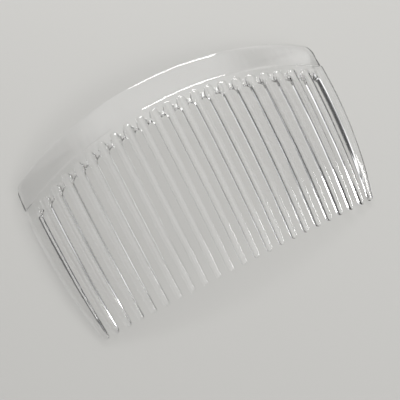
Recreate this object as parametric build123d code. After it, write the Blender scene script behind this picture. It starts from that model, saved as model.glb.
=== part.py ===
from build123d import *
import os
from math import asin, cos, degrees, sin, sqrt

os.makedirs("parts", exist_ok=True)

# ---- sizes, in millimetres -------------------------------------------------
# The comb lies dome up. X runs along the tooth row, Y from the tips to the
# spine and Z up. "v" is the distance from the middle tooth tip towards the
# spine, and "u" the distance along the bent tooth row from the middle tooth.
tooth_count = 23
bend_radius = 160.0
length_arc_radius = 207.0
length_arc_top = 28.2

tip_pitch = 4.635
root_pitch = 4.765
tip_drop_at_ends = 1.85

root_crown = 55.0
root_crown_radius = 125.0
rail_width = 2.0
band_depth = 8.4
spine_crown_radius = 137.0
shoulder_drop = 2.0
slot_slope_run = 2.4
slot_round = 1.1
slot_undercut = 0.25

band_thickness = 1.8
rail_thickness = 2.2
tooth_width_root = 2.5
tooth_width_tip = 2.15
tooth_thickness_root = 2.8
tooth_thickness_tip = 2.0
tooth_roundness = 0.35
tip_radius = 0.55

end_tooth_gap = 1.35
end_tooth_width = 4.7
end_tooth_thickness = 2.5
end_tooth_tip_thickness = 1.9
end_tooth_tip_width = 1.9
end_tooth_bevel = 1.7
end_tooth_bevel_edge = 0.05
end_tooth_roundness = 0.2
end_tip_radius = 0.25
end_edge_widest = 38.0
end_edge_radius = 228.0

corner_radius = 3.0
corner_height = 5.7
facet_depth = 0.9
facet_width = 5.0

# Where a tooth dies in the rail: distance past the slot end, and the shares
# of the tooth's root width and thickness that are left there.
ridge_stations = ((-0.6, 1.0, 0.98), (0.2, 0.9, 0.9), (0.9, 0.45, 0.63))
# The same for an end tooth: distance past its root, and the share left.
end_ridge_stations = ((0.0, 1.0), (2.2, 1.0), (3.4, 0.8))

# Stock left round a cut, so that no cutter ends on a face it should clear.
spare = 6.0

middle_tooth = (tooth_count + 1) / 2
spine_crown = root_crown + rail_width + band_depth
depth_middle = (spine_crown - tip_drop_at_ends) / 2


# ---- the bent surface ------------------------------------------------------
def lengthwise_rise(v):
    """Height of the lengthwise arc at v, below its highest point."""
    run = v - length_arc_top
    return sqrt(length_arc_radius ** 2 - run ** 2) - length_arc_radius


def on_surface(u, v, out=0.0):
    """Point on the middle surface, moved out along its normal."""
    angle = u / bend_radius
    radius = bend_radius + lengthwise_rise(v) + out
    return Vector(radius * sin(angle), v, radius * cos(angle) - bend_radius)


def arc_drop(radius, x):
    """How far a crowned line of this radius has fallen at x."""
    return radius - sqrt(radius ** 2 - x ** 2)


def crown_line(x):
    """v of the comb's outer edge along the spine."""
    shoulder = shoulder_drop * (x / end_edge_x) ** 4
    return spine_crown - arc_drop(spine_crown_radius, x) - shoulder


def root_line(x):
    """v of the slot ends on the upper face."""
    return root_crown - arc_drop(root_crown_radius, x)


def tooth_u(number, v):
    """u of a tooth's middle line at v."""
    pitch = tip_pitch + (root_pitch - tip_pitch) * v / root_crown
    return (number - middle_tooth) * pitch


def tooth_tip_v(number):
    """v of a tooth's tip."""
    side = (number - middle_tooth) / (tooth_count - middle_tooth)
    return -tip_drop_at_ends * side ** 2


def root_face_v(u):
    """v of the face where a tooth at u leaves the rail."""
    return root_line(u) - slot_slope_run - slot_round


def tooth_root_v(number):
    """v of the root of an inner tooth."""
    return root_face_v(tooth_u(number, root_crown))


def end_inner_edge(v):
    """u of the inner edge of the right-hand end tooth."""
    neighbour = tooth_u(tooth_count - 1, v) + tooth_width_root / 2
    return neighbour + end_tooth_gap


row_end_u = end_inner_edge(end_edge_widest) + end_tooth_width
end_edge_x = bend_radius * sin(row_end_u / bend_radius)
end_tooth_root = root_face_v(end_inner_edge(root_crown))


def end_edge(v):
    """x of the comb's outer edge at v, for the right-hand end."""
    return end_edge_x - arc_drop(end_edge_radius, v - end_edge_widest)


def end_outer_edge(v):
    """u of the outer edge of the right-hand end tooth."""
    return bend_radius * asin(end_edge(v) / bend_radius)


def shell(thickness):
    """Doubly curved sheet of even thickness, cut wider than the comb."""
    profile_top = spine_crown + spare
    profile_low = -spare
    outer = []
    inner = []
    for v in (profile_low, length_arc_top, profile_top):
        outer.append((v, lengthwise_rise(v) + thickness / 2))
        inner.append((v, lengthwise_rise(v) - thickness / 2))
    with BuildSketch(Plane.YZ) as side:
        with BuildLine():
            ThreePointArc(outer[0], outer[1], outer[2])
            Line(outer[2], inner[2])
            ThreePointArc(inner[2], inner[1], inner[0])
            Line(inner[0], outer[0])
        make_face()
    hinge = Axis((0, 0, -bend_radius), (0, 1, 0))
    half_angle = degrees((row_end_u + spare) / bend_radius)
    start = side.sketch.rotate(hinge, -half_angle)
    return revolve(start, axis=hinge, revolution_arc=2 * half_angle)


def column(face):
    """Upright column over a flat outline, taller than the bent comb."""
    lowest = bend_radius * cos(row_end_u / bend_radius) - bend_radius + lengthwise_rise(spine_crown)
    return extrude(face.moved(Location((0, 0, lowest - spare))), 2 * spare - lowest)


# ---- flat outlines ---------------------------------------------------------
step_crown = root_crown + rail_width
crown_end_x = end_edge(root_line(end_edge_x)) - corner_radius
crown_end = (crown_end_x, crown_line(crown_end_x))
corner_foot_v = crown_end[1] - corner_height
corner_foot = (end_edge(corner_foot_v), corner_foot_v)
corner_middle = (corner_foot[0] - corner_radius / 3, crown_end[1] - corner_height * 3 / 8)
step_end_v = step_crown - arc_drop(root_crown_radius, end_edge_x)


def mirrored(point):
    return (-point[0], point[1])


def band_outline():
    """Spine strip, from its crowned outer edge down to the step."""
    step_end = (end_edge(step_end_v), step_end_v)
    side_middle_v = (corner_foot_v + step_end_v) / 2
    side_middle = (end_edge(side_middle_v), side_middle_v)
    crown = []
    for step in range(-4, 5):
        x = crown_end_x * step / 4
        crown.append((x, crown_line(x)))
    with BuildSketch() as flat:
        with BuildLine():
            Spline(*crown)
            ThreePointArc(crown_end, corner_middle, corner_foot)
            ThreePointArc(corner_foot, side_middle, step_end)
            ThreePointArc(step_end, (0, step_crown), mirrored(step_end))
            ThreePointArc(mirrored(step_end), mirrored(side_middle), mirrored(corner_foot))
            ThreePointArc(mirrored(corner_foot), mirrored(corner_middle), mirrored(crown_end))
        make_face()
    return flat.sketch


def rail_outline():
    """Rail strip, from the step down to just short of the tooth roots."""
    short = 0.1
    half = tooth_width_root * 0.3
    low = []
    for number in range(2, tooth_count):
        foot_v = tooth_root_v(number)
        x = on_surface(tooth_u(number, root_crown), foot_v).X
        low.append((x - half, foot_v + short))
        low.append((x + half, foot_v + short))
    foot = (end_edge(end_tooth_root), end_tooth_root + short)
    inner_foot_x = on_surface(end_inner_edge(end_tooth_root), end_tooth_root).X + slot_undercut
    inner_foot = (inner_foot_x, foot[1])
    low = [mirrored(foot), mirrored(inner_foot)] + low + [inner_foot, foot]
    step_end = (end_edge(step_end_v), step_end_v)
    with BuildSketch() as flat:
        with BuildLine():
            Polyline(*low)
            Line(foot, step_end)
            ThreePointArc(step_end, (0, step_crown), mirrored(step_end))
            Line(mirrored(step_end), mirrored(foot))
        make_face()
    return flat.sketch


# ---- tooth sections --------------------------------------------------------
def blend(first, last, part):
    return first + (last - first) * part


def section_plane(u, v, out=0.0):
    """Upright plane across a tooth, level with the bent surface."""
    angle = u / bend_radius
    return Plane(origin=on_surface(u, v, out), x_dir=(cos(angle), 0, -sin(angle)), z_dir=(0, -1, 0))


def inner_section(number, v, width, thickness):
    """Rounded section of one of the inner teeth."""
    corner = min(width, thickness) * tooth_roundness
    with BuildSketch(section_plane(tooth_u(number, v), v)) as cut:
        RectangleRounded(width, thickness, corner)
    return cut.sketch


def tooth_section(number, v):
    """Section of an inner tooth at v, tapering from root to tip."""
    tip = tooth_tip_v(number)
    part = max(0.0, (tooth_root_v(number) - v) / (tooth_root_v(number) - tip))
    width = blend(tooth_width_root, tooth_width_tip, part)
    thickness = blend(tooth_thickness_root, tooth_thickness_tip, part ** 1.5)
    return inner_section(number, v, width, thickness)


def end_section(v, side, scale=1.0):
    """Blade section of an end tooth, bevelled below its inner edge; side is 1 or -1."""
    tip = -tip_drop_at_ends
    part = max(0.0, (end_tooth_root - v) / (end_tooth_root - tip))
    thickness = blend(end_tooth_thickness, end_tooth_tip_thickness, part ** 1.5) * scale
    outer = end_outer_edge(v)
    inner = min(end_inner_edge(v), outer - end_tooth_tip_width)
    width = (outer - inner) * scale
    middle = (outer + inner) / 2
    root_width = end_outer_edge(end_tooth_root) - end_inner_edge(end_tooth_root)
    bevel = min(end_tooth_bevel * width / root_width, width / 2)
    corners = []
    corners.append((width / 2 * side, thickness / 2))
    corners.append((width / 2 * side, -thickness / 2))
    corners.append(((bevel - width / 2) * side, -thickness / 2))
    corners.append((-width / 2 * side, -thickness * end_tooth_bevel_edge))
    corners.append((-width / 2 * side, thickness / 2))
    with BuildSketch(section_plane(middle * side, v)) as cut:
        with BuildLine():
            Polyline(*corners, close=True)
        make_face()
        fillet(cut.vertices(), thickness * end_tooth_roundness)
    return cut.sketch


# ---- pieces ----------------------------------------------------------------
def rounded_tip(body, radius):
    """Round the free end of a tooth."""
    tip_face = body.faces().sort_by(Axis.Y)[0]
    return fillet(tip_face.edges(), radius)


def make_tooth(number):
    """One inner tooth, from the rail to its rounded tip."""
    root = tooth_root_v(number)
    tip = tooth_tip_v(number)
    cuts = []
    for part in (0.0, 0.25, 0.5, 0.75, 1.0):
        cuts.append(tooth_section(number, blend(root, tip, part)))
    return rounded_tip(loft(cuts), tip_radius)


def make_end_tooth(side):
    """The wide bevelled tooth at one end of the row."""
    tip = -tip_drop_at_ends
    cuts = []
    for part in (0.0, 0.2, 0.4, 0.6, 0.8, 1.0):
        cuts.append(end_section(blend(end_tooth_root, tip, part), side))
    return rounded_tip(loft(cuts), end_tip_radius)


def make_ridge(number):
    """The part of a tooth that runs up into the rail and dies there."""
    root = tooth_root_v(number)
    top = root + slot_slope_run + slot_round
    cuts = [tooth_section(number, root)]
    for past, width_left, thickness_left in ridge_stations:
        width = tooth_width_root * width_left
        thickness = tooth_thickness_root * thickness_left
        cuts.append(inner_section(number, top + past, width, thickness))
    return loft(cuts)


def make_end_ridge(side):
    """The part of an end tooth inside the rail."""
    cuts = []
    for past, left in end_ridge_stations:
        cuts.append(end_section(end_tooth_root + past, side, left))
    return loft(cuts)


def slot_cutter(u_left, u_right):
    """Sloping round-ended cutter for the end of one slot."""
    u = (u_left + u_right) / 2
    width = (u_right - u_left) / 2 + slot_undercut
    x = on_surface(u, root_crown).X
    end_v = root_line(u)
    height = on_surface(u, end_v).Z
    slope = slot_slope_run / rail_thickness
    low_end = end_v - slot_slope_run / 2 - slope * spare
    length = 3 * spare
    with BuildSketch(Plane.XY.offset(height - spare)) as flat:
        with Locations((x, low_end - width)):
            Circle(width)
        with Locations((x, low_end - width - length / 2)):
            Rectangle(2 * width, length)
    run = Vector(0, slope, 1)
    return extrude(flat.sketch, 2 * spare * run.length, dir=run.normalized())


def make_rail():
    """Rail that ties the teeth together, with every slot end."""
    rail = shell(rail_thickness) & column(rail_outline())
    half = tooth_width_root / 2
    for number in range(2, tooth_count - 1):
        left = tooth_u(number, root_crown) + half
        right = tooth_u(number + 1, root_crown) - half
        rail -= slot_cutter(left, right)
    last = tooth_u(tooth_count - 1, root_crown) + half
    for side in (-1, 1):
        near = last * side
        far = (last + end_tooth_gap) * side
        rail -= slot_cutter(min(near, far), max(near, far))
    for number in range(2, tooth_count):
        rail += make_ridge(number)
    for side in (-1, 1):
        rail += make_end_ridge(side)
    return rail


def make_band():
    """Smooth crowned band with a bevelled facet at both corners."""
    band = shell(band_thickness) & column(band_outline())
    top = band_thickness / 2
    high_v = corner_foot_v + corner_radius
    low_v = step_end_v + corner_radius / 2
    for side in (-1, 1):
        high = on_surface((end_edge_x - facet_depth) * side, high_v, top)
        low = on_surface((end_edge_x - facet_width) * side, low_v, top)
        out = on_surface(end_edge_x * side, low_v, top - facet_depth)
        facing = (low - high).cross(out - high).normalized()
        if facing.Z > 0:
            facing = facing * -1
        band = split(band, bisect_by=Plane(origin=high, z_dir=facing), keep=Keep.TOP)
    return band


pieces = {}
pieces["band"] = make_band()
pieces["root_rail"] = make_rail()
pieces["end_tooth_left"] = make_end_tooth(-1)
pieces["end_tooth_right"] = make_end_tooth(1)
for number in range(2, tooth_count):
    pieces[f"tooth_{number:02d}"] = make_tooth(number)

lift = -min(piece.bounding_box().min.Z for piece in pieces.values())
for name, piece in pieces.items():
    placed = Pos(0, -depth_middle, lift) * piece
    export_step(placed, f"parts/{name}.step")
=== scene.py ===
from math import asin, cos, pi, radians, sin, sqrt

import bmesh
import bpy
from mathutils import Matrix, Vector


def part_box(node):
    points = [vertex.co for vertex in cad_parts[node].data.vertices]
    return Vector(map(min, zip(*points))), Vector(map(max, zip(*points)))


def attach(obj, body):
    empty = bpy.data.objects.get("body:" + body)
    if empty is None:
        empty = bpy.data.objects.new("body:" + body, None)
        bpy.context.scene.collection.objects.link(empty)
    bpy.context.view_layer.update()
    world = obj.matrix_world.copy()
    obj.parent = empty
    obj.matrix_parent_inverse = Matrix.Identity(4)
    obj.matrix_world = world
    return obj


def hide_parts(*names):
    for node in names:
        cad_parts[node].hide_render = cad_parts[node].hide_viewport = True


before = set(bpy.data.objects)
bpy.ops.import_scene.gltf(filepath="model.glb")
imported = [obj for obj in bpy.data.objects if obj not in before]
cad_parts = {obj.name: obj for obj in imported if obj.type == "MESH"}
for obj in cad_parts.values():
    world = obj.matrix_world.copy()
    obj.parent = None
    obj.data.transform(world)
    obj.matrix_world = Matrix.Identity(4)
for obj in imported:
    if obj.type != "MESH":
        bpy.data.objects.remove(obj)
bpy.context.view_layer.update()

# ---- sizes of the comb, in millimetres ------------------------------------
# u runs along the bent tooth row from the middle tooth, v from the middle
# tooth's tip towards the spine, and "out" stands off the middle surface.
MM = 0.001
tooth_count = 23
middle_tooth = (tooth_count + 1) / 2
bend_radius = 160.0
length_arc_radius = 207.0
length_arc_top = 28.2

tip_pitch = 4.635
root_pitch = 4.765
tip_drop_at_ends = 1.85

band_depth = 8.4
spine_crown_radius = 137.0
shoulder_drop = 2.0
root_crown = 55.0
root_crown_radius = 125.0
rail_width = 2.0
slot_slope_run = 2.4
slot_round = 1.1

end_edge_widest = 38.0
end_edge_radius = 228.0
corner_radius = 3.0
corner_height = 5.7
corner_inset = 0.15
corner_fall = 1.26

band_half = 1.8 / 2
rail_half = 2.2 / 2
tooth_width_root = 2.5
tooth_width_tip = 2.15
tooth_thickness_root = 2.8
tooth_thickness_tip = 2.0

# A section's fullness is 2 for an ellipse and grows towards a square.
tooth_fullness = 2.6
tooth_under_fullness = 9.0
blade_fullness = 3.4
rim_fullness = 7

# How a tooth dies in the rail past the slot end, and how each slot end is
# scooped. The lip values are shares, of the rail's half thickness or of the slope.
ridge_overrun = 1.3
ridge_start = 0.2
lip_depth = 0.6
under_start = 0.6
lip_arch = 0.8
lip_soft = 0.3
lip_blend = 0.3
lip_reach = sqrt(1 + lip_soft ** 2) - lip_soft
least_share = 0.05

end_tooth_gap = 1.35
end_tooth_width = 4.7
end_tooth_thickness = 2.5
end_tooth_tip_thickness = 1.9
end_tooth_tip_width = 1.9
end_tooth_bevel = 2.0
end_tooth_bevel_edge = 0.1
bevel_rounding = 0.15

# The flat cut at each corner of the band, and the step down from the rail.
facet_width = 5.0
facet_fall = 0.34
facet_low = 1.5
facet_high = 2.2
facet_inset = 0.9
facet_share = 0.9
facet_floor = 0.2
step_share = 0.06

step_crown = root_crown + rail_width
spine_crown = step_crown + band_depth
depth_middle = (spine_crown - tip_drop_at_ends) / 2


# ---- the bent surface ------------------------------------------------------
def blend(first, last, part):
    return first + (last - first) * part


def clamp(value, low=0.0, high=1.0):
    return max(low, min(high, value))


def ease(part):
    """Smooth step from 0 to 1."""
    part = clamp(part)
    return part * part * (3 - 2 * part)


def even(count):
    """Even shares from 0 to 1, in this many steps."""
    return [index / count for index in range(count + 1)]


def arc_drop(radius, x):
    """How far a crowned line of this radius has fallen at x."""
    return radius - sqrt(radius ** 2 - x ** 2)


def lengthwise_rise(v):
    """Height of the lengthwise arc at v, below its highest point."""
    return -arc_drop(length_arc_radius, v - length_arc_top)


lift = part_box("band")[1][2] / MM - lengthwise_rise(step_crown) - band_half


def place(u, v, out):
    """A point of the bent comb, in metres."""
    angle = u / bend_radius
    radius = bend_radius + lengthwise_rise(v) + out
    return Vector((radius * sin(angle), v - depth_middle, radius * cos(angle) - bend_radius + lift)) * MM


def along(x):
    """u of the point of the bent surface that stands over x."""
    return bend_radius * asin(x / bend_radius)


def crown_line(x):
    """v of the comb's outer edge along the spine."""
    return spine_crown - arc_drop(spine_crown_radius, x) - shoulder_drop * (x / end_edge_x) ** 4


def root_line(x):
    """v of the slot ends on the upper face."""
    return root_crown - arc_drop(root_crown_radius, x)


def step_line(x):
    """v of the line where the rail meets the band."""
    return step_crown - arc_drop(root_crown_radius, x)


def end_edge(v):
    """x of the comb's right-hand outer edge at v."""
    return end_edge_x - arc_drop(end_edge_radius, v - end_edge_widest)


# ---- the teeth across and along --------------------------------------------
def tooth_middle(number, v):
    """u of a tooth's middle line at v."""
    pitch = blend(tip_pitch, root_pitch, v / root_crown)
    return (number - middle_tooth) * pitch


def tooth_tip(number):
    side = (number - middle_tooth) / (tooth_count - middle_tooth)
    return -tip_drop_at_ends * side ** 2


def root_face(u):
    """v of the face where a tooth at u leaves the rail."""
    return root_line(u) - slot_slope_run - slot_round


def end_inner_edge(v):
    """u of the inner edge of the right-hand end tooth."""
    return tooth_middle(tooth_count - 1, v) + tooth_width_root / 2 + end_tooth_gap


row_end_u = end_inner_edge(end_edge_widest) + end_tooth_width
end_edge_x = bend_radius * sin(row_end_u / bend_radius)
end_tooth_root = root_face(end_inner_edge(root_crown))


def is_end(number):
    return number in (1, tooth_count)


def tooth_foot(number):
    """v of the face where a tooth leaves the rail."""
    if is_end(number):
        return end_tooth_root
    return root_face(tooth_middle(number, root_crown))


def tooth_part(number, v):
    """0 at a tooth's foot and 1 at its tip."""
    foot = tooth_foot(number)
    return clamp((foot - v) / (foot - tooth_tip(number)))


def tooth_span(number, v):
    """u of a tooth's two edges, left and right."""
    if not is_end(number):
        half = blend(tooth_width_root, tooth_width_tip, tooth_part(number, v)) / 2
        middle = tooth_middle(number, v)
        return middle - half, middle + half
    outer = along(end_edge(v))
    inner = min(end_inner_edge(v), outer - end_tooth_tip_width)
    if number == 1:
        return -outer, -inner
    return inner, outer


def fullness_curve(across, fullness):
    """Height of a rounded section: 1 in the middle and 0 at its edges."""
    return max(0.0, 1 - abs(across) ** fullness) ** (1 / fullness)


def tooth_section(number, v, across):
    """Heights of a tooth's upper and lower face, above and below the middle surface."""
    part = tooth_part(number, v)
    if not is_end(number):
        half = blend(tooth_thickness_root, tooth_thickness_tip, part ** 1.5) / 2
        over = half * fullness_curve(across, tooth_fullness)
        return over, half * fullness_curve(across, tooth_under_fullness)
    half = blend(end_tooth_thickness, end_tooth_tip_thickness, part ** 1.5) / 2
    left, right = tooth_span(number, v)
    width = right - left
    inward = -across if number == 1 else across
    from_inner = (inward + 1) / 2 * width
    root_left, root_right = tooth_span(number, tooth_foot(number))
    bevel = min(end_tooth_bevel * width / (root_right - root_left), width / 2)
    slope = half * blend(end_tooth_bevel_edge, 1.0, from_inner / bevel)
    under = smooth_min(half * fullness_curve(across, tooth_under_fullness), slope, bevel_rounding)
    return half * fullness_curve(across, blade_fullness), max(0.0, under)


def smooth_max(first, second, soft):
    """The larger of two heights, with the corner between them rounded."""
    if soft <= 0:
        return max(first, second)
    near = max(soft - abs(first - second), 0.0) / soft
    return max(first, second) + near * near * soft / 4


def smooth_min(first, second, soft):
    return -smooth_max(-first, -second, soft)


# ---- columns across the whole comb -----------------------------------------
# A column is a tooth number and a place across it from -1 to 1, or the number
# of the tooth on its left and a place across the gap.
TOOTH = "tooth"
GAP = "gap"
gap_steps = 12
tooth_steps = 24
blade_steps = 28


def tooth_places(number):
    """Places across a tooth, closer together towards its edges."""
    steps = blade_steps if is_end(number) else tooth_steps
    full = blade_fullness if is_end(number) else tooth_fullness
    places = []
    for step in range(steps + 1):
        turn = cos(pi * (1 - step / steps))
        places.append(abs(turn) ** (2 / full) * (1 if turn > 0 else -1) if step * 2 != steps else 0.0)
    return places


def all_columns():
    columns = []
    for number in range(1, tooth_count + 1):
        for across in tooth_places(number):
            columns.append((TOOTH, number, across))
        if number < tooth_count:
            for step in range(1, gap_steps):
                columns.append((GAP, number, 2 * step / gap_steps - 1))
    return columns


def root_at(number):
    """v of the slot ends beside a tooth; the end teeth share their neighbour's slope."""
    left, right = tooth_span(number, tooth_foot(number))
    if is_end(number):
        return tooth_foot(number) + slot_slope_run + slot_round
    return root_line((left + right) / 2)


def column_rail(column, part):
    """Position in the rail: part 0 is its foot, 1 the step to the band."""
    kind, number, across = column
    if kind == TOOTH:
        foot = tooth_foot(number)
        root = root_at(number)
        lip = foot
        lip_height = 0.0
        root_edge = root - lip_arch * slot_round
        left, right = tooth_span(number, foot)
        u = blend(left, right, (across + 1) / 2)
    else:
        share = (across + 1) / 2
        arch = sqrt(1 - across * across)
        foot = blend(tooth_foot(number), tooth_foot(number + 1), share)
        root = blend(root_at(number), root_at(number + 1), share)
        root_edge = root - lip_arch * slot_round * (1 - arch)
        lip = foot + slot_round * arch
        lip_height = -lip_depth * rail_half * arch
        left = tooth_span(number, foot)[1]
        right = tooth_span(number + 1, foot)[0]
        u = blend(left, right, share)
    top_v = step_line(bend_radius * sin(u / bend_radius))
    v = blend(lip, top_v, part)
    drop = clamp((root_edge - v) / (root_edge - lip))
    scoop = blend(rail_half, lip_height, (sqrt(drop ** 2 + lip_soft ** 2) - lip_soft) / lip_reach)
    under = blend(rail_half, -lip_height, ease((drop - under_start) / (1 - under_start)))
    if kind == GAP:
        return u, v, scoop, -under
    rim = 1.0
    if is_end(number):
        outward = -across if number == 1 else across
        rim = fullness_curve(max(0.0, outward), blade_fullness)
    over, below = tooth_section(number, v, across)
    if not is_end(number):
        past = clamp((v - root + ridge_start) / (ridge_overrun + ridge_start))
        dying = fullness_curve(past, tooth_fullness)
        narrow = fullness_curve(clamp(abs(across) / max(dying, least_share)), tooth_fullness)
        flat = fullness_curve(across, tooth_fullness)
        ridge = clamp(narrow / max(flat, least_share)) * dying
        over = over * ridge
        below = below * ridge
    soft = lip_blend * (1 - drop)
    top = smooth_max(over, scoop * rim, soft * rim)
    low = smooth_max(below, under * rim, soft * rim)
    return u, v, top, -low


# ---- outline of the spine ----------------------------------------------------
crown_steps = 40
corner_steps = 16
side_steps = 6
step_end_x = end_edge(step_line(end_edge_x))
crown_end_x = end_edge(root_line(end_edge_x)) - corner_radius


def outline_right():
    """Plan points from the middle of the crown round the corner to the step's end."""
    points = []
    for part in even(crown_steps):
        x = crown_end_x * part
        points.append(Vector((x, crown_line(x))))
    start = points[-1]
    foot_v = start.y - corner_height
    foot = Vector((end_edge(foot_v), foot_v))
    corner = Vector((foot.x - corner_inset, start.y - corner_fall))
    for part in even(corner_steps)[1:]:
        points.append(start.lerp(corner, part).lerp(corner.lerp(foot, part), part))
    for part in even(side_steps)[1:]:
        v = blend(foot_v, step_line(end_edge_x), part)
        points.append(Vector((end_edge(v), v)))
    return points


class Path:
    """A plan line that can be read at any share of its length."""

    def __init__(self, points):
        self.points = points
        self.lengths = [0.0]
        for first, second in zip(points, points[1:]):
            self.lengths.append(self.lengths[-1] + (second - first).length)

    def at(self, share):
        wanted = clamp(share) * self.lengths[-1]
        for index in range(1, len(self.points)):
            if self.lengths[index] >= wanted - 1e-9:
                run = self.lengths[index] - self.lengths[index - 1]
                part = (wanted - self.lengths[index - 1]) / run
                return self.points[index - 1].lerp(self.points[index], clamp(part))
        return self.points[-1]


outer_path = Path(outline_right())
facet_start = Vector((end_edge_x - facet_width, step_line(end_edge_x) + facet_low))
facet_end = Vector((end_edge_x - facet_inset, outer_path.at(facet_share).y + facet_high))
facet_run = (facet_end - facet_start).normalized()


def column_band(column, part):
    """Position in the band: part 0 is the step, 1 the outer edge."""
    u, v, top, low = column_rail(column, 1.0)
    x = bend_radius * sin(u / bend_radius)
    side = 1 if x >= 0 else -1
    share = asin(abs(x) / root_crown_radius) / asin(step_end_x / root_crown_radius)
    edge = outer_path.at(share)
    start = Vector((abs(x), v))
    spot = start.lerp(edge, part)
    rim = fullness_curve(part, rim_fullness)
    thin = blend(1.0, band_half / rail_half, ease(part / step_share))
    upper = top * rim * thin
    lower = low * rim * thin
    beyond = (spot - facet_start).cross(facet_run)
    if beyond > 0:
        upper = max(min(upper, rail_half - facet_fall * beyond), lower * facet_floor)
    return along(spot.x) * side, spot.y, upper, lower


# ---- building the meshes -----------------------------------------------------
rail_rows = 36
band_rows = 24
band_row_crowding = 1.7
tooth_rows = 80
tip_rows = 8
dome_run = 1.1
merge_distance = 0.0015


def sheet(bm, columns, rows, locate, material=0, flipped=False):
    """A grid whose points are put in place by locate(column, row)."""
    grid = bmesh.ops.create_grid(bm, x_segments=len(columns) - 1, y_segments=len(rows) - 1, size=1.0)
    verts = grid["verts"]
    for vert in verts:
        column = round((vert.co.x + 1) / 2 * (len(columns) - 1))
        row = round((vert.co.y + 1) / 2 * (len(rows) - 1))
        vert.co = locate(columns[column], rows[row])
    faces = set()
    for vert in verts:
        faces.update(vert.link_faces)
    faces = list(faces)
    for face in faces:
        face.material_index = material
        face.smooth = True
    if flipped:
        bmesh.ops.reverse_faces(bm, faces=faces)
    return verts


def finish_piece(bm, name, nodes, materials):
    bmesh.ops.remove_doubles(bm, verts=bm.verts, dist=merge_distance * MM)
    bmesh.ops.dissolve_degenerate(bm, edges=bm.edges, dist=merge_distance * MM / 3)
    bmesh.ops.recalc_face_normals(bm, faces=bm.faces)
    for edge in bm.edges:
        if len(edge.link_faces) == 2:
            first, second = edge.link_faces
            if first.material_index != second.material_index:
                edge.smooth = False
    mesh = bpy.data.meshes.new(name)
    bm.to_mesh(mesh)
    bm.free()
    piece = bpy.data.objects.new(name, mesh)
    bpy.context.scene.collection.objects.link(piece)
    for material in materials:
        mesh.materials.append(material)
    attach(piece, "root")
    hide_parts(*nodes)
    return piece


def upper_of(position):
    def locate(column, row):
        u, v, top, low = position(column, row)
        return place(u, v, top)
    return locate


def lower_of(position):
    def locate(column, row):
        u, v, top, low = position(column, row)
        return place(u, v, low)
    return locate


def wall_of(position, at):
    """An upright strip between the two faces along one row of columns."""
    def locate(column, row):
        u, v, top, low = position(column, at)
        return place(u, v, blend(top, low, row))
    return locate


def make_rail(materials):
    bm = bmesh.new()
    columns = all_columns()
    rows = even(rail_rows)
    sheet(bm, columns, rows, upper_of(column_rail))
    sheet(bm, columns, rows, lower_of(column_rail), flipped=True)
    sheet(bm, columns, [0.0, 1.0], wall_of(column_rail, 1.0), material=1)
    for number in range(1, tooth_count + 1):
        own = [(TOOTH, number, across) for across in tooth_places(number)]
        sheet(bm, own, [0.0, 1.0], wall_of(column_rail, 0.0), material=1)
    return finish_piece(bm, "comb_rail", ["root_rail"], materials)


def make_band(materials):
    bm = bmesh.new()
    columns = all_columns()
    rows = [1 - (1 - part) ** band_row_crowding for part in even(band_rows)]
    sheet(bm, columns, rows, upper_of(column_band))
    sheet(bm, columns, rows, lower_of(column_band), flipped=True)
    sheet(bm, columns, [0.0, 1.0], wall_of(column_band, 0.0), material=1)
    return finish_piece(bm, "comb_band", ["band"], materials)


def tooth_position(number):
    """Returns the position function of one tooth: row 0 is its foot, 1 its tip."""
    foot = tooth_foot(number)
    tip = tooth_tip(number)

    def position(across, row):
        v = blend(foot, tip, row)
        left, right = tooth_span(number, v)
        dome = (right - left) / 2
        into = clamp((tip + dome - v) / dome)
        shrink = sqrt(max(0.0, 1 - into * into))
        middle = (left + right) / 2
        top, low = tooth_section(number, v, across)
        u = middle + across * (right - left) / 2 * shrink
        return u, v, top * shrink, -low * shrink

    return position


def make_tooth(number, materials):
    bm = bmesh.new()
    places = tooth_places(number)
    position = tooth_position(number)
    foot = tooth_foot(number)
    dome_start = 1 - dome_run / (foot - tooth_tip(number))
    rows = [dome_start * part for part in even(tooth_rows)]
    for part in even(tip_rows)[1:]:
        rows.append(blend(dome_start, 1.0, sin(pi / 2 * part)))
    sheet(bm, places, rows, upper_of(position))
    sheet(bm, places, rows, lower_of(position), flipped=True)
    sheet(bm, places, [0.0, 1.0], wall_of(position, 0.0), material=1)
    if number == 1:
        name = "end_tooth_left"
    elif number == tooth_count:
        name = "end_tooth_right"
    else:
        name = f"tooth_{number:02d}"
    return finish_piece(bm, "comb_" + name, [name], materials)


# ---- materials ---------------------------------------------------------------
clear_roughness = 0.015
scratch_roughness = 0.16
scratch_from = 0.64
scratch_full = 0.72
scratch_stretch = (3200, 110, 3200)
scratch_turn = radians(35)
flow_stretch = (420, 90, 420)
flow_strength = 0.15
flow_height = 0.00025


def new_material(name):
    material = bpy.data.materials.new(name)
    material.use_nodes = True
    material.node_tree.nodes.clear()
    return material


def add_node(tree, kind, **settings):
    node = tree.nodes.new(kind)
    for key, value in settings.items():
        setattr(node, key, value)
    return node


def math_node(tree, operation, first, second=None):
    node = add_node(tree, "ShaderNodeMath", operation=operation)
    for socket, value in zip(node.inputs, (first, second)):
        if isinstance(value, (int, float)):
            socket.default_value = value
        elif value is not None:
            tree.links.new(value, socket)
    return node.outputs[0]


def ease_node(tree, value, low, high):
    """Smooth step of a value from 0 at low to 1 at high."""
    node = add_node(tree, "ShaderNodeMapRange", interpolation_type="SMOOTHSTEP")
    tree.links.new(value, node.inputs["Value"])
    node.inputs["From Min"].default_value = low
    node.inputs["From Max"].default_value = high
    return node.outputs["Result"]


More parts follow.
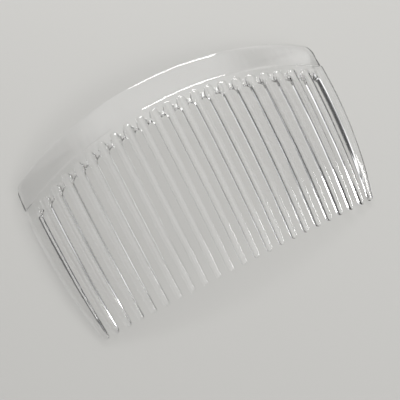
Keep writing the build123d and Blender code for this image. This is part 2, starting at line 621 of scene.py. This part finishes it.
def stretched_noise(tree, stretch, turn, detail):
    """Noise drawn out along one direction of the piece."""
    where = add_node(tree, "ShaderNodeTexCoord")
    drawn = add_node(tree, "ShaderNodeMapping")
    drawn.inputs["Rotation"].default_value = (0, 0, turn)
    drawn.inputs["Scale"].default_value = stretch
    noise = add_node(tree, "ShaderNodeTexNoise")
    noise.inputs["Scale"].default_value = 1.0
    noise.inputs["Detail"].default_value = detail
    tree.links.new(where.outputs["Object"], drawn.inputs["Vector"])
    tree.links.new(drawn.outputs[0], noise.inputs["Vector"])
    return noise.outputs["Fac"]


def scratched_roughness(tree):
    """Smooth plastic with fine slanting scratches."""
    scratches = stretched_noise(tree, scratch_stretch, scratch_turn, 2.0)
    scratched = ease_node(tree, scratches, scratch_from, scratch_full)
    rough = math_node(tree, "MULTIPLY_ADD", scratched, scratch_roughness)
    rough.node.inputs[2].default_value = clear_roughness
    return rough


def flow_waviness(tree):
    """The slight waves that the melt leaves along the teeth."""
    bump = add_node(tree, "ShaderNodeBump")
    bump.inputs["Strength"].default_value = flow_strength
    bump.inputs["Distance"].default_value = flow_height
    tree.links.new(stretched_noise(tree, flow_stretch, 0.0, 1.0), bump.inputs["Height"])
    return bump.outputs[0]


def light_through(tree, seen):
    """Lets shadow and floor light pass straight through; steep edges hold some of it back."""
    edge = add_node(tree, "ShaderNodeFresnel")
    edge.inputs["IOR"].default_value = 1.5
    dim = add_node(tree, "ShaderNodeMix", data_type="RGBA")
    dim.inputs[6].default_value = (1.0, 1.0, 1.0, 1)
    dim.inputs[7].default_value = (0.7, 0.7, 0.7, 1)
    tree.links.new(edge.outputs["Fac"], dim.inputs[0])
    through = add_node(tree, "ShaderNodeBsdfTransparent")
    tree.links.new(dim.outputs[2], through.inputs["Color"])
    light = add_node(tree, "ShaderNodeLightPath")
    for ray in ("Is Shadow Ray", "Is Diffuse Ray"):
        mix = add_node(tree, "ShaderNodeMixShader")
        tree.links.new(light.outputs[ray], mix.inputs[0])
        tree.links.new(seen, mix.inputs[1])
        tree.links.new(through.outputs[0], mix.inputs[2])
        seen = mix.outputs[0]
    return seen


def clear_plastic():
    material = new_material("clear_plastic")
    tree = material.node_tree
    output = add_node(tree, "ShaderNodeOutputMaterial")
    shader = add_node(tree, "ShaderNodeBsdfPrincipled")
    shader.inputs["Base Color"].default_value = (1, 1, 1, 1)
    shader.inputs["IOR"].default_value = 1.52
    shader.inputs["Transmission Weight"].default_value = 1.0
    tree.links.new(scratched_roughness(tree), shader.inputs["Roughness"])
    tree.links.new(flow_waviness(tree), shader.inputs["Normal"])
    tree.links.new(light_through(tree, shader.outputs[0]), output.inputs["Surface"])
    return material


def joined_face():
    """The faces where two members of the one moulding meet; they have no surface of their own."""
    material = new_material("joined_face")
    tree = material.node_tree
    output = add_node(tree, "ShaderNodeOutputMaterial")
    through = add_node(tree, "ShaderNodeBsdfTransparent")
    tree.links.new(through.outputs[0], output.inputs["Surface"])
    return material


def floor_paint():
    material = new_material("floor_paint")
    tree = material.node_tree
    output = add_node(tree, "ShaderNodeOutputMaterial")
    shader = add_node(tree, "ShaderNodeBsdfPrincipled")
    shader.inputs["Base Color"].default_value = (0.46, 0.455, 0.438, 1)
    shader.inputs["Roughness"].default_value = 0.6
    tree.links.new(shader.outputs[0], output.inputs["Surface"])
    return material


# ---- pieces ------------------------------------------------------------------
moulding = [clear_plastic(), joined_face()]
make_band(moulding)
make_rail(moulding)
for number in range(1, tooth_count + 1):
    make_tooth(number, moulding)

# ---- floor, light and camera ---------------------------------------------------
floor_half_width = 1.5
bm = bmesh.new()
bmesh.ops.create_grid(bm, x_segments=1, y_segments=1, size=floor_half_width)
floor_mesh = bpy.data.meshes.new("floor")
bm.to_mesh(floor_mesh)
bm.free()
floor = bpy.data.objects.new("floor", floor_mesh)
floor_mesh.materials.append(floor_paint())
bpy.context.scene.collection.objects.link(floor)

scene = bpy.context.scene
scene.view_settings.view_transform = "Standard"


def studio_world():
    """A dim room with a long soft ceiling light along the teeth and a pale wall on the right."""
    world = bpy.data.worlds.new("studio")
    world.use_nodes = True
    tree = world.node_tree
    background = tree.nodes["Background"]
    where = add_node(tree, "ShaderNodeTexCoord")
    split = add_node(tree, "ShaderNodeSeparateXYZ")
    tree.links.new(where.outputs["Generated"], split.inputs[0])
    height = math_node(tree, "MAXIMUM", split.outputs["Z"], 0.05)
    aside = math_node(tree, "DIVIDE", split.outputs["X"], height)
    ceiling_left = ease_node(tree, aside, -0.5, -0.15)
    ceiling_right = ease_node(tree, aside, 0.95, 0.5)
    ceiling = math_node(tree, "MULTIPLY", ceiling_left, ceiling_right)
    wall_top = ease_node(tree, aside, 0.85, 1.4)
    wall_foot = ease_node(tree, aside, 3.2, 1.9)
    wall = math_node(tree, "MULTIPLY", wall_top, wall_foot)
    above = ease_node(tree, split.outputs["Z"], 0.1, 0.5)
    bright = math_node(tree, "MULTIPLY", math_node(tree, "ADD", ceiling, wall), above)
    room = add_node(tree, "ShaderNodeMix", data_type="RGBA")
    room.inputs[6].default_value = (0.09, 0.09, 0.09, 1)
    room.inputs[7].default_value = (1.3, 1.3, 1.3, 1)
    tree.links.new(bright, room.inputs[0])
    tree.links.new(room.outputs[2], background.inputs["Color"])
    return world


scene.world = studio_world()


def soft_light(name, spot_m, size_m, power):
    """A rectangular area light that faces the comb."""
    data = bpy.data.lights.new(name, "AREA")
    data.shape = "RECTANGLE"
    data.size, data.size_y = size_m
    data.energy = power
    lamp = bpy.data.objects.new(name, data)
    lamp.location = spot_m
    lamp.rotation_euler = (-lamp.location).to_track_quat("-Z", "Y").to_euler()
    scene.collection.objects.link(lamp)


soft_light("window", (0.96, -0.62, 0.8), (0.7, 0.3), 7)
soft_light("back_lamp", (0.15, 0.4, 0.36), (0.3, 0.07), 1.6)

camera_spot = Vector((-0.0371, 0.0037, 0.2365))
camera_aim = Vector((-0.0025, -0.0079, 0.0))
camera_turn = radians(26.73)
camera_data = bpy.data.cameras.new("camera")
camera_data.lens = 66.84
camera_data.clip_start = 0.01
camera = bpy.data.objects.new("camera", camera_data)
forward = (camera_aim - camera_spot).normalized()
right = forward.cross(Vector((sin(camera_turn), cos(camera_turn), 0))).normalized()
up = right.cross(forward)
turn = Matrix((right, up, -forward)).transposed()
camera.matrix_world = Matrix.Translation(camera_spot) @ turn.to_4x4()
scene.collection.objects.link(camera)
scene.camera = camera
